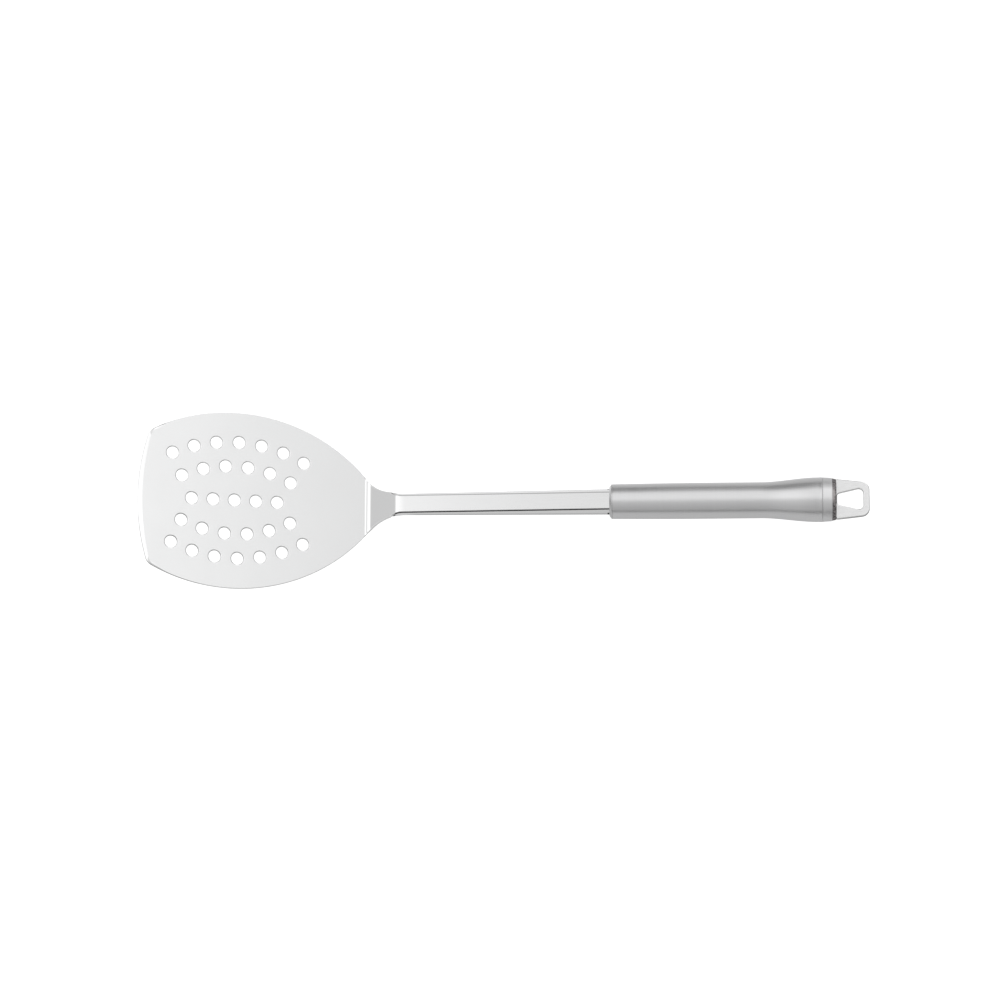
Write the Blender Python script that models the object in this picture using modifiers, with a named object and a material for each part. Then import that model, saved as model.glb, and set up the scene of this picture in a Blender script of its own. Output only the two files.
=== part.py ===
"""Perforated kitchen turner: flat blade, cranked channel stem, hollow flared handle, hanging eye.

Sizes are in metres. The tool lies on a table as it does when it is put down: on its heel and on
the rear rim of the handle, with +X toward the hanging eye and +Z up.
"""
import math

import bmesh
import bpy
from mathutils import Matrix, Vector

# Clearances between pieces that are welded or pressed together on the real tool.
FIT_GAP = 0.0003
WELD_GAP = 0.0003

# Blade: a flat plate, measured forward from the line of the heel bend.
BLADE_LENGTH = 0.1169
SHEET = 0.0015
SIDE_RADIUS = 0.0893
ARC_CENTRE_AHEAD = 0.0684
ARC_CENTRE_ASIDE = 0.0444
FRONT_RADIUS = 0.1100
CORNER_RADIUS = 0.0058
EDGE_BEVEL = 0.0028
EDGE_THICKNESS = 0.0005

# Perforation: two arcs of holes on each side of a straight middle row, placed from the front edge.
HOLE_DIAMETER = 0.0062
OUTER_ROW_RADIUS = 0.0741
INNER_ROW_RADIUS = 0.0617
OUTER_PITCH = 0.0115
INNER_PITCH = 0.0114
MIDDLE_PITCH = 0.0108
OUTER_FRONT_MARGIN = 0.0171
INNER_FRONT_MARGIN = 0.0220
MIDDLE_FRONT_MARGIN = 0.0271
OUTER_ROW_HOLES = 7
INNER_ROW_HOLES = 6
MIDDLE_ROW_HOLES = 5

# Neck and stem: one strip with a flared foot, a crank and turned-down edges, on a line that slopes
# down from the handle's axis. The blade's and the neck's angles are measured from that line.
BLADE_ANGLE = math.radians(18.1)
NECK_ANGLE = math.radians(25.5)
NECK_LENGTH = 0.01708
NECK_FILLET = 0.0245
NECK_HALF_WIDTH = 0.0061
HEEL_RADIUS = 0.0050
CRANK_RADIUS = 0.0080
WELD_LAND = 0.0004
STEM_LENGTH = 0.10622
STEM_SLOPE = math.radians(1.76)
STEM_TOP = 0.0032
STEM_FLAT_HALF = 0.00285
STEM_FRONT_HALF = 0.0056
STEM_BASE_HALF = 0.0066
FOLD_INNER_RADIUS = 0.0005
FOLD_ANGLE = math.radians(58.0)
FOLD_START = 0.0041
FOLD_RUN = 0.0085
TANG_LENGTH = 0.0320
TANG_DEPTH = 0.0020

# Handle: a tube with a swelling rear end, measured from the front face of its plug.
PLUG_FACE_RADIUS = 0.00725
PLUG_RIM = 0.0014
PLUG_LAND = 0.0003
PLUG_LENGTH = 0.0120
TUBE_FRONT_RADIUS = 0.00870
TUBE_MID_RADIUS = 0.00903
TUBE_REAR_RADIUS = 0.01112
TUBE_WALL = 0.0010
TUBE_LENGTH = 0.1041
SWELL_LENGTH = 0.0450
FLARE_LENGTH = 0.0280
REAR_LAND = 0.0022

# Rear cap and hanging eye.
CAP_JOINT_RADIUS = 0.01112
CAP_END_RADIUS = 0.01085
CAP_TAPER = 0.0046
CAP_BAND = 0.0021
CAP_BAND_RADIUS = 0.0106
CAP_BAND_END_RADIUS = 0.0102
CAP_WALL = 0.0016
SPIGOT_LENGTH = 0.0040
SPIGOT_WALL = 0.0012
EYE_THICKNESS = 0.0026
EYE_LENGTH = 0.0164
EYE_BASE_HALF = 0.01025
EYE_TIP_HALF = 0.0084
EYE_CORNER = 0.0042
EYE_BAR = 0.0031
EYE_HOLE_BASE_HALF = 0.0028
EYE_HOLE_TIP_HALF = 0.0058
EYE_HOLE_CORNER = 0.0016
EYE_HOLE_INSET = 0.0003
EYE_TANG_LENGTH = 0.0042
EYE_TANG_HALF = 0.0070

# Facets.
HOLE_FACETS = 20
TURN_STEPS = 48
FOLD_FACETS = 4

# Lengths that follow from the sizes above.
FOLD_RADIUS = FOLD_INNER_RADIUS + SHEET
HEEL_TURN = BLADE_ANGLE + NECK_ANGLE
HEEL_REACH = HEEL_RADIUS * math.tan(HEEL_TURN / 2)
CRANK_REACH = CRANK_RADIUS * math.tan(NECK_ANGLE / 2)
SEAM = HEEL_REACH + WELD_LAND
CRANK_POINT = Vector((-STEM_LENGTH, 0.0, STEM_TOP - SHEET / 2))
NECK_DIRECTION = Vector((math.cos(NECK_ANGLE), 0.0, math.sin(NECK_ANGLE)))
BLADE_DIRECTION = Vector((math.cos(BLADE_ANGLE), 0.0, -math.sin(BLADE_ANGLE)))
HEEL_POINT = CRANK_POINT - NECK_LENGTH * NECK_DIRECTION
TUBE_START = PLUG_RIM + WELD_GAP
TUBE_END = TUBE_START + TUBE_LENGTH
CAP_START = TUBE_END + WELD_GAP
CAP_END = CAP_START + CAP_TAPER + CAP_BAND
EYE_START = CAP_END + WELD_GAP


def clear_scene():
    for item in list(bpy.data.objects):
        bpy.data.objects.remove(item, do_unlink=True)


def new_collection(name):
    group = bpy.data.collections.new(name)
    bpy.context.scene.collection.children.link(group)
    return group


def steel(name, colour, roughness):
    material = bpy.data.materials.new(name)
    material.use_nodes = True
    shader = material.node_tree.nodes["Principled BSDF"]
    shader.inputs["Base Color"].default_value = (*colour, 1.0)
    shader.inputs["Metallic"].default_value = 1.0
    shader.inputs["Roughness"].default_value = roughness
    material.diffuse_color = (*colour, 1.0)
    return material


def smooth_step(value):
    value = min(max(value, 0.0), 1.0)
    return value * value * (3.0 - 2.0 * value)


def arc(centre, radius, start, end, facets):
    """Points on a circle, both ends included."""
    points = []
    for step in range(facets + 1):
        angle = start + (end - start) * step / facets
        points.append(Vector((centre[0] + radius * math.cos(angle), centre[1] + radius * math.sin(angle))))
    return points


def circles_meet(first, first_radius, second, second_radius):
    """The meeting point of two circles with the larger second coordinate."""
    between = second - first
    distance = between.length
    along = (distance ** 2 + first_radius ** 2 - second_radius ** 2) / (2 * distance)
    across = math.sqrt(first_radius ** 2 - along ** 2)
    middle = first + between * (along / distance)
    side = Vector((-between.y, between.x)) / distance
    return max(middle + side * across, middle - side * across, key=lambda point: point.y)


def rounded(corners, facets):
    """A closed outline whose corners, given as (x, y, radius), are rounded."""
    points = []
    for index, (x, y, radius) in enumerate(corners):
        here = Vector((x, y))
        if radius == 0.0:
            points.append(here)
            continue
        before = (Vector(corners[index - 1][:2]) - here).normalized()
        after = (Vector(corners[(index + 1) % len(corners)][:2]) - here).normalized()
        half = before.angle(after) / 2
        centre = here + (before + after).normalized() * (radius / math.sin(half))
        start = here + before * (radius / math.tan(half)) - centre
        end = here + after * (radius / math.tan(half)) - centre
        turn = start.angle_signed(end)
        for step in range(facets + 1):
            angle = -turn * step / facets
            points.append(centre + Vector((
                start.x * math.cos(angle) - start.y * math.sin(angle),
                start.x * math.sin(angle) + start.y * math.cos(angle),
            )))
    return points


def plate(name, outlines, thickness, group):
    """A flat plate from closed outlines, holes included, centred on its own mid plane."""
    curve = bpy.data.curves.new(name, "CURVE")
    curve.dimensions = "2D"
    curve.fill_mode = "BOTH"
    curve.extrude = thickness / 2
    for outline in outlines:
        spline = curve.splines.new("POLY")
        spline.points.add(len(outline) - 1)
        for point, place in zip(spline.points, outline):
            point.co = (place[0], place[1], 0.0, 1.0)
        spline.use_cyclic_u = True
    drawn = bpy.data.objects.new(name + "_outline", curve)
    group.objects.link(drawn)
    bpy.context.view_layer.update()
    graph = bpy.context.evaluated_depsgraph_get()
    mesh = bpy.data.meshes.new_from_object(drawn.evaluated_get(graph))
    mesh.name = name
    bpy.data.objects.remove(drawn, do_unlink=True)
    shape = bmesh.new()
    shape.from_mesh(mesh)
    bmesh.ops.remove_doubles(shape, verts=shape.verts, dist=0.000002)
    bmesh.ops.recalc_face_normals(shape, faces=shape.faces)
    shape.to_mesh(mesh)
    shape.free()
    item = bpy.data.objects.new(name, mesh)
    group.objects.link(item)
    return item


def loft(name, rings, group):
    """A solid through closed rings of equally many points, with flat ends."""
    shape = bmesh.new()
    rows = [[shape.verts.new(point) for point in ring] for ring in rings]
    count = len(rows[0])
    for row, following in zip(rows, rows[1:]):
        for index in range(count):
            after = (index + 1) % count
            shape.faces.new((row[index], row[after], following[after], following[index]))
    shape.faces.new(rows[0])
    shape.faces.new(rows[-1])
    bmesh.ops.recalc_face_normals(shape, faces=shape.faces)
    mesh = bpy.data.meshes.new(name)
    shape.to_mesh(mesh)
    shape.free()
    item = bpy.data.objects.new(name, mesh)
    group.objects.link(item)
    return item


def turned(name, profile, group, steps=TURN_STEPS, closed=False):
    """A solid of revolution about the X axis from (along, radius) points."""
    shape = bmesh.new()
    points = [shape.verts.new((radius, 0.0, along)) for along, radius in profile]
    for first, second in zip(points, points[1:]):
        shape.edges.new((first, second))
    if closed:
        shape.edges.new((points[-1], points[0]))
    mesh = bpy.data.meshes.new(name)
    shape.to_mesh(mesh)
    shape.free()
    item = bpy.data.objects.new(name, mesh)
    group.objects.link(item)
    screw = item.modifiers.new("turn", "SCREW")
    screw.axis = "Z"
    screw.steps = steps
    screw.render_steps = steps
    screw.use_merge_vertices = True
    screw.merge_threshold = 0.000002
    item.rotation_euler = (0.0, math.pi / 2, 0.0)
    return item


def cut(item, cutter):
    cutter.hide_render = True
    cutter.display_type = "WIRE"
    step = item.modifiers.new("cut_" + cutter.name, "BOOLEAN")
    step.operation = "DIFFERENCE"
    step.solver = "EXACT"
    step.object = cutter


def finish(item, material, parent):
    item.data.materials.clear()
    item.data.materials.append(material)
    item.data.shade_smooth()
    item.data.set_sharp_from_angle(angle=math.radians(30.0))
    item.parent = parent


def side_half_width(ahead):
    """Half width of the blade's side arc at a distance ahead of the heel."""
    return math.sqrt(SIDE_RADIUS ** 2 - (ahead - ARC_CENTRE_AHEAD) ** 2) - ARC_CENTRE_ASIDE


def blade_outline():
    side_centre = Vector((ARC_CENTRE_AHEAD, -ARC_CENTRE_ASIDE))
    front_centre = Vector((BLADE_LENGTH - FRONT_RADIUS, 0.0))
    corner = circles_meet(side_centre, SIDE_RADIUS - CORNER_RADIUS, front_centre, FRONT_RADIUS - CORNER_RADIUS)
    leaves_front = math.atan2(corner.y - front_centre.y, corner.x - front_centre.x)
    meets_side = math.atan2(corner.y - side_centre.y, corner.x - side_centre.x)
    rear = Vector((SEAM + WELD_GAP, side_half_width(SEAM + WELD_GAP)))
    ends_side = math.atan2(rear.y - side_centre.y, rear.x - side_centre.x)
    half = arc(front_centre, FRONT_RADIUS, 0.0, leaves_front, 14)
    half += arc(corner, CORNER_RADIUS, leaves_front, meets_side, 8)[1:]
    half += arc(side_centre, SIDE_RADIUS, meets_side, ends_side, 34)[1:]
    other = [Vector((point.x, -point.y)) for point in half[:0:-1]]
    return [Vector((-point.x, point.y)) for point in half + other]


def hole_centres():
    centres = []
    rows = (
        (OUTER_ROW_RADIUS, OUTER_ROW_HOLES, OUTER_PITCH, OUTER_FRONT_MARGIN),
        (INNER_ROW_RADIUS, INNER_ROW_HOLES, INNER_PITCH, INNER_FRONT_MARGIN),
    )
    for radius, count, pitch, margin in rows:
        first_angle = math.asin((BLADE_LENGTH - margin - ARC_CENTRE_AHEAD) / radius)
        for index in range(count):
            angle = first_angle - index * pitch / radius
            ahead = ARC_CENTRE_AHEAD + radius * math.sin(angle)
            aside = radius * math.cos(angle) - ARC_CENTRE_ASIDE
            centres += [(-ahead, aside), (-ahead, -aside)]
    for index in range(MIDDLE_ROW_HOLES):
        centres.append((MIDDLE_FRONT_MARGIN + index * MIDDLE_PITCH - BLADE_LENGTH, 0.0))
    return centres


def make_blade(parts, cutters):
    outlines = [blade_outline()]
    for index, centre in enumerate(hole_centres()):
        # Each hole's facets start at another angle, so the corners of a row never line up.
        start = index * math.tau / HOLE_FACETS / 7
        outlines.append(arc(centre, HOLE_DIAMETER / 2, start, start + math.tau, HOLE_FACETS)[:-1])
    blade = plate("blade", outlines, SHEET, parts)
    blade.location = HEEL_POINT
    blade.rotation_euler = (0.0, BLADE_ANGLE, 0.0)
    # The ground front edge is a cone round the centre of the front arc.
    fall = (SHEET - EDGE_THICKNESS) / EDGE_BEVEL
    reach = 2 * EDGE_BEVEL
    profile = [
        (SHEET / 2 + fall * EDGE_BEVEL, FRONT_RADIUS - reach),
        (SHEET / 2 + fall * EDGE_BEVEL, FRONT_RADIUS + reach),
        (SHEET / 2 - fall * (EDGE_BEVEL + reach), FRONT_RADIUS + reach),
    ]
    cone = turned("edge_grinding", profile, cutters, steps=240, closed=True)
    turn = blade.rotation_euler.to_matrix()
    cone.location = HEEL_POINT + turn @ Vector((FRONT_RADIUS - BLADE_LENGTH, 0.0, 0.0))
    cone.rotation_euler = (0.0, BLADE_ANGLE, 0.0)
    cut(blade, cone)
    return blade, cone


def path(distance):
    """Place and slope of the strip's mid plane, by distance behind the heel line."""
    if distance <= -HEEL_REACH:
        return HEEL_POINT + BLADE_DIRECTION * distance, -BLADE_ANGLE
    if distance < HEEL_REACH:
        slope = -BLADE_ANGLE + HEEL_TURN * (distance + HEEL_REACH) / (2 * HEEL_REACH)
        centre = HEEL_POINT - BLADE_DIRECTION * HEEL_REACH
        centre += HEEL_RADIUS * Vector((math.sin(BLADE_ANGLE), 0.0, math.cos(BLADE_ANGLE)))
        return centre + HEEL_RADIUS * Vector((math.sin(slope), 0.0, -math.cos(slope))), slope
    if distance <= NECK_LENGTH - CRANK_REACH:
        return HEEL_POINT + NECK_DIRECTION * distance, NECK_ANGLE
    if distance < NECK_LENGTH + CRANK_REACH:
        slope = NECK_ANGLE * (NECK_LENGTH + CRANK_REACH - distance) / (2 * CRANK_REACH)
        centre = CRANK_POINT + Vector((CRANK_REACH, 0.0, -CRANK_RADIUS))
        return centre + CRANK_RADIUS * Vector((-math.sin(slope), 0.0, math.cos(slope))), slope
    return CRANK_POINT + Vector((distance - NECK_LENGTH, 0.0, 0.0)), 0.0


def strip_half_width(distance):
    """Half width of the strip seen from above, by distance behind the heel line."""
    fillet_aside = NECK_HALF_WIDTH + NECK_FILLET
    reach = math.sqrt((SIDE_RADIUS + NECK_FILLET) ** 2 - (ARC_CENTRE_ASIDE + fillet_aside) ** 2)
    narrowest = reach - ARC_CENTRE_AHEAD
    tangent = SIDE_RADIUS / (SIDE_RADIUS + NECK_FILLET) * reach - ARC_CENTRE_AHEAD
    if distance < tangent:
        return side_half_width(-distance)
    short = max(narrowest - distance, 0.0)
    neck = fillet_aside - math.sqrt(NECK_FILLET ** 2 - short ** 2)
    share = min(max((distance - NECK_LENGTH) / STEM_LENGTH, 0.0), 1.0)
    stem = STEM_FRONT_HALF + (STEM_BASE_HALF - STEM_FRONT_HALF) * share
    return neck + (stem - neck) * smooth_step((distance - NECK_LENGTH + FOLD_START) / FOLD_RUN)


def flat_half_at(distance):
    """Half width of the flat web, by distance behind the heel line: all of the strip on the neck."""
    share = min(max((distance - NECK_LENGTH + FOLD_START) / FOLD_RUN, 0.0), 1.0)
    return STEM_FLAT_HALF + (strip_half_width(distance) - STEM_FLAT_HALF) * (1.0 - share) ** 3


def channel_section(half_width, flat_half):
    """Closed section of the strip with its edges folded down, as (across, up) from its mid plane."""
    spare = half_width - flat_half
    fold = math.asin(min(spare / FOLD_RADIUS, math.sin(FOLD_ANGLE)))
    bent = FOLD_RADIUS * fold
    whole = flat_half + bent + (spare - FOLD_RADIUS * math.sin(fold)) / math.cos(fold)
    # Where little or nothing is folded, the points spread along the strip instead of along the fold.
    folded = fold / FOLD_ANGLE
    outer = []
    inner = []
    for step in range(FOLD_FACETS + 2):
        on_fold = whole if step > FOLD_FACETS else flat_half + bent * step / FOLD_FACETS
        on_flat = whole * (0.5 + 0.5 * step / (FOLD_FACETS + 1))
        run = on_flat + (on_fold - on_flat) * folded
        angle = min(max(run - flat_half, 0.0) / FOLD_RADIUS, fold)
        normal = Vector((math.sin(angle), math.cos(angle)))
        start = Vector((min(run, flat_half), SHEET / 2 - FOLD_RADIUS))
        beyond = max(run - flat_half - bent, 0.0)
        point = start + FOLD_RADIUS * normal + beyond * Vector((normal.y, -normal.x))
        outer.append(point)
        inner.append(point - SHEET * normal)
    right = outer + inner[::-1]
    return right + [Vector((-point.x, point.y)) for point in right[::-1]]


def make_stem(parts, cutters):
    bends = [-SEAM]
    bends += [HEEL_REACH * (step / 4 - 1.0) for step in range(9)]
    neck_end = NECK_LENGTH - max(CRANK_REACH, FOLD_START)
    bends += [HEEL_REACH + (neck_end - HEEL_REACH) * (step + 1) / 7 for step in range(6)]
    fold_end = NECK_LENGTH - FOLD_START + FOLD_RUN
    bends += [neck_end + (fold_end - neck_end) * step / 16 for step in range(17)]
    handle = NECK_LENGTH + STEM_LENGTH
    bends += [fold_end + (handle - fold_end) * (step + 1) / 4 for step in range(4)]
    bends.append(handle + TANG_LENGTH)
    rings = []
    for distance in bends:
        place, slope = path(distance)
        up = Vector((-math.sin(slope), 0.0, math.cos(slope)))
        section = channel_section(strip_half_width(distance), flat_half_at(distance))
        rings.append([place + Vector((0.0, point.x, 0.0)) + up * point.y for point in section])
    stem = loft("stem", rings, parts)
    # Inside the handle only the web and the roots of the flanges go on, as the tang.
    shoulder = plate("tang_shoulder", [[
        (-FIT_GAP, -STEM_BASE_HALF * 2),
        (TANG_LENGTH * 2, -STEM_BASE_HALF * 2),
        (TANG_LENGTH * 2, STEM_BASE_HALF * 2),
        (-FIT_GAP, STEM_BASE_HALF * 2),
    ]], STEM_BASE_HALF * 4, cutters)
    shoulder.location = (0.0, 0.0, STEM_TOP - TANG_DEPTH - STEM_BASE_HALF * 2)
    cut(stem, shoulder)
    return stem, shoulder


def tang_half_width(depth):
    """Half width of the folded strip at a depth under its top, corners taken as sharp."""
    corner = STEM_FLAT_HALF + FOLD_RADIUS * math.tan(FOLD_ANGLE / 2)
    return corner + depth / math.tan(FOLD_ANGLE)


def make_front_plug(parts, cutters):
    spigot = TUBE_FRONT_RADIUS - TUBE_WALL - FIT_GAP
    plug = turned("front_plug", [
        (PLUG_LENGTH, 0.0),
        (PLUG_LENGTH, spigot),
        (PLUG_RIM, spigot),
        (PLUG_RIM, TUBE_FRONT_RADIUS),
        (PLUG_RIM - PLUG_LAND, TUBE_FRONT_RADIUS),
        (0.0, PLUG_FACE_RADIUS),
        (0.0, 0.0),
    ], parts)
    top = tang_half_width(0.0) + FIT_GAP
    bottom = tang_half_width(TANG_DEPTH + FIT_GAP) + FIT_GAP
    slot = plate("tang_slot", [[
        (STEM_TOP + FIT_GAP, top),
        (STEM_TOP + FIT_GAP, -top),
        (STEM_TOP - TANG_DEPTH - FIT_GAP, -bottom),
        (STEM_TOP - TANG_DEPTH - FIT_GAP, bottom),
    ]], PLUG_LENGTH * 4, cutters)
    slot.rotation_euler = (0.0, -math.pi / 2, 0.0)
    cut(plug, slot)
    return plug, slot


def tube_radius(along):
    """Outer radius of the handle by distance behind the plug's front face."""
    swell = TUBE_MID_RADIUS - TUBE_FRONT_RADIUS
    share = smooth_step((along - TUBE_START + SWELL_LENGTH) / (2 * SWELL_LENGTH)) * 2.0 - 1.0
    flare_start = TUBE_END - REAR_LAND - FLARE_LENGTH
    flare = TUBE_REAR_RADIUS - TUBE_MID_RADIUS
    return TUBE_FRONT_RADIUS + swell * share + flare * smooth_step((along - flare_start) / FLARE_LENGTH)


def make_tube(parts):
    stations = [TUBE_START + SWELL_LENGTH * step / 6 for step in range(7)]
    flare_start = TUBE_END - REAR_LAND - FLARE_LENGTH
    stations += [flare_start + FLARE_LENGTH * step / 16 for step in range(17)]
    stations.append(TUBE_END)
    outside = [(along, tube_radius(along)) for along in stations]
    inside = [(along, tube_radius(along) - TUBE_WALL) for along in stations]
    return turned("handle_tube", outside[::-1] + inside, parts, closed=True)


def make_end_cap(parts, cutters):
    spigot = tube_radius(TUBE_END - SPIGOT_LENGTH) - TUBE_WALL - FIT_GAP
    bore = spigot - SPIGOT_WALL
    cap = turned("end_cap", [
        (CAP_END, 0.0),
        (CAP_END, CAP_BAND_END_RADIUS),
        (CAP_START + CAP_TAPER, CAP_BAND_RADIUS),
        (CAP_START + CAP_TAPER, CAP_END_RADIUS),
        (CAP_START, CAP_JOINT_RADIUS),
        (CAP_START, spigot),
        (TUBE_END - SPIGOT_LENGTH, spigot),
        (TUBE_END - SPIGOT_LENGTH, bore),
        (CAP_END - CAP_WALL, bore),
        (CAP_END - CAP_WALL, 0.0),
    ], parts)
    slot = plate("eye_slot", [[
        (CAP_END - 2 * CAP_WALL, -EYE_TANG_HALF - FIT_GAP),
        (CAP_END + CAP_WALL, -EYE_TANG_HALF - FIT_GAP),
        (CAP_END + CAP_WALL, EYE_TANG_HALF + FIT_GAP),
        (CAP_END - 2 * CAP_WALL, EYE_TANG_HALF + FIT_GAP),
    ]], EYE_THICKNESS + 2 * FIT_GAP, cutters)
    cut(cap, slot)
    return cap, slot


def make_eye(parts):
    tip = EYE_START + EYE_LENGTH
    tang = EYE_START - EYE_TANG_LENGTH
    outline = rounded([
        (tang, -EYE_TANG_HALF, 0.0),
        (EYE_START, -EYE_TANG_HALF, 0.0),
        (EYE_START, -EYE_BASE_HALF, 0.0),
        (tip, -EYE_TIP_HALF, EYE_CORNER),
        (tip, EYE_TIP_HALF, EYE_CORNER),
        (EYE_START, EYE_BASE_HALF, 0.0),
        (EYE_START, EYE_TANG_HALF, 0.0),
        (tang, EYE_TANG_HALF, 0.0),
    ], 8)
    hole = rounded([
        (EYE_START + EYE_HOLE_INSET, -EYE_HOLE_BASE_HALF, EYE_HOLE_CORNER),
        (tip - EYE_BAR, -EYE_HOLE_TIP_HALF, EYE_HOLE_CORNER),
        (tip - EYE_BAR, EYE_HOLE_TIP_HALF, EYE_HOLE_CORNER),
        (EYE_START + EYE_HOLE_INSET, EYE_HOLE_BASE_HALF, EYE_HOLE_CORNER),
    ], 6)
    return plate("hanging_eye", [outline, hole], EYE_THICKNESS, parts)


def rest_angle():
    """Tilt that brings the heel's underside and the handle's rear rim onto one table."""
    bend = HEEL_POINT - BLADE_DIRECTION * HEEL_REACH
    bend += HEEL_RADIUS * Vector((math.sin(BLADE_ANGLE), 0.0, math.cos(BLADE_ANGLE)))
    rim = Vector((TUBE_END, 0.0, -TUBE_REAR_RADIUS))
    to_bend = rim - Matrix.Rotation(-STEM_SLOPE, 3, "Y") @ bend
    drop = math.asin((HEEL_RADIUS + SHEET / 2) / to_bend.length)
    return -math.atan2(to_bend.z, to_bend.x) - drop


def stand(pose, parts):
    """Put the tool's lowest point on the table and the middle of its box over the origin."""
    bpy.context.view_layer.update()
    graph = bpy.context.evaluated_depsgraph_get()
    corners = []
    for item in parts.objects:
        if item.type != "MESH":
            continue
        solid = item.evaluated_get(graph)
        corners += [solid.matrix_world @ vertex.co for vertex in solid.data.vertices]
    along = [corner.x for corner in corners]
    pose.location.x -= (min(along) + max(along)) / 2
    pose.location.z -= min(corner.z for corner in corners)


def main():
    clear_scene()
    parts = new_collection("perforated_turner")
    cutters = new_collection("cutters")
    pose = bpy.data.objects.new("rest_pose", None)
    parts.objects.link(pose)
    pose.rotation_euler = (0.0, -rest_angle(), 0.0)
    stem_line = bpy.data.objects.new("stem_line", None)
    parts.objects.link(stem_line)
    stem_line.rotation_euler = (0.0, -STEM_SLOPE, 0.0)
    stem_line.parent = pose

    polished = steel("polished_steel", (0.80, 0.81, 0.82), 0.16)
    stem_steel = steel("stem_steel", (0.79, 0.80, 0.81), 0.14)
    satin = steel("satin_steel", (0.70, 0.71, 0.72), 0.30)
    plug_steel = steel("plug_steel", (0.72, 0.73, 0.74), 0.24)
    cap_steel = steel("cap_steel", (0.72, 0.73, 0.74), 0.22)
    eye_steel = steel("eye_steel", (0.78, 0.79, 0.80), 0.16)

    blade, cone = make_blade(parts, cutters)
    stem, shoulder = make_stem(parts, cutters)
    plug, tang_slot = make_front_plug(parts, cutters)
    tube = make_tube(parts)
    cap, eye_slot = make_end_cap(parts, cutters)
    eye = make_eye(parts)
    finish(blade, polished, stem_line)
    finish(stem, stem_steel, stem_line)
    finish(plug, plug_steel, pose)
    finish(tube, satin, pose)
    finish(cap, cap_steel, pose)
    finish(eye, eye_steel, pose)
    for cutter in (cone, shoulder, tang_slot):
        cutter.parent = stem_line
    eye_slot.parent = pose
    stand(pose, parts)


main()
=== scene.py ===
"""Looks of the perforated turner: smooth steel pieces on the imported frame, studio light and camera.

Sizes are in metres. The handle's pieces are drawn in the tool frame, which has the handle's axis along
X and its origin in the plug's front face. The stem is drawn in the same frame turned by its slope, and
the blade in a frame with its origin on the heel line.
"""
import math

import bmesh
import bpy
from mathutils import Matrix, Vector
from mathutils.geometry import delaunay_2d_cdt


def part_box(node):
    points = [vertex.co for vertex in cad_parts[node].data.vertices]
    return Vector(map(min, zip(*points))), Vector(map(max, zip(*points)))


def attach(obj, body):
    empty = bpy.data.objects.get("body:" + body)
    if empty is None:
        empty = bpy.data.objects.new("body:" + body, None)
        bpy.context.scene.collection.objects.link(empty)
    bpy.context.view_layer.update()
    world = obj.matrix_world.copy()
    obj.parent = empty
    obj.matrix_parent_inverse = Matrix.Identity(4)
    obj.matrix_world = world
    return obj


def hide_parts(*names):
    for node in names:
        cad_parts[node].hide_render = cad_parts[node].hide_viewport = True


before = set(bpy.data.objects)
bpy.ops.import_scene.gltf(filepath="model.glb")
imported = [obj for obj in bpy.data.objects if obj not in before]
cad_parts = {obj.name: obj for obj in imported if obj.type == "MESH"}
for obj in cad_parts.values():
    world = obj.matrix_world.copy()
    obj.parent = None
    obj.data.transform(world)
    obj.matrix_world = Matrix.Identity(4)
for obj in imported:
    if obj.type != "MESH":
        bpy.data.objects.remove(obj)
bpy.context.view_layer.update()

# Sizes shared with the solids.
WELD_GAP = 0.0003
BLADE_LENGTH = 0.1169
SHEET = 0.0015
SIDE_RADIUS = 0.0893
ARC_CENTRE_AHEAD = 0.0684
ARC_CENTRE_ASIDE = 0.0444
FRONT_RADIUS = 0.1100
CORNER_RADIUS = 0.0058
EDGE_BEVEL = 0.0028
EDGE_THICKNESS = 0.0005
HOLE_DIAMETER = 0.0062
OUTER_ROW_RADIUS = 0.0741
INNER_ROW_RADIUS = 0.0617
OUTER_PITCH = 0.0115
INNER_PITCH = 0.0114
MIDDLE_PITCH = 0.0108
OUTER_FRONT_MARGIN = 0.0171
INNER_FRONT_MARGIN = 0.0220
MIDDLE_FRONT_MARGIN = 0.0271
OUTER_ROW_HOLES = 7
INNER_ROW_HOLES = 6
MIDDLE_ROW_HOLES = 5
BLADE_ANGLE = math.radians(18.1)
NECK_ANGLE = math.radians(25.5)
NECK_LENGTH = 0.01708
NECK_FILLET = 0.0245
NECK_HALF_WIDTH = 0.0061
HEEL_RADIUS = 0.0050
WELD_LAND = 0.0004
STEM_LENGTH = 0.10622
STEM_SLOPE = math.radians(1.76)
STEM_TOP = 0.0032
STEM_FLAT_HALF = 0.00285
STEM_FRONT_HALF = 0.0056
STEM_BASE_HALF = 0.0066
FOLD_ANGLE = math.radians(58.0)
FOLD_START = 0.0041
FOLD_RUN = 0.0085
PLUG_FACE_RADIUS = 0.00725
PLUG_RIM = 0.0014
PLUG_LAND = 0.0003
TUBE_FRONT_RADIUS = 0.00870
TUBE_MID_RADIUS = 0.00903
TUBE_REAR_RADIUS = 0.01112
TUBE_WALL = 0.0010
TUBE_LENGTH = 0.1041
SWELL_LENGTH = 0.0450
FLARE_LENGTH = 0.0280
REAR_LAND = 0.0022
CAP_JOINT_RADIUS = 0.01112
CAP_END_RADIUS = 0.01085
CAP_TAPER = 0.0046
CAP_BAND = 0.0021
CAP_BAND_RADIUS = 0.0106
CAP_BAND_END_RADIUS = 0.0102
EYE_THICKNESS = 0.0026
EYE_LENGTH = 0.0164
EYE_BASE_HALF = 0.01025
EYE_TIP_HALF = 0.0084
EYE_CORNER = 0.0042
EYE_BAR = 0.0031
EYE_HOLE_BASE_HALF = 0.0028
EYE_HOLE_TIP_HALF = 0.0058
EYE_HOLE_CORNER = 0.0016
EYE_HOLE_INSET = 0.0003
EYE_TANG_LENGTH = 0.0042

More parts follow.
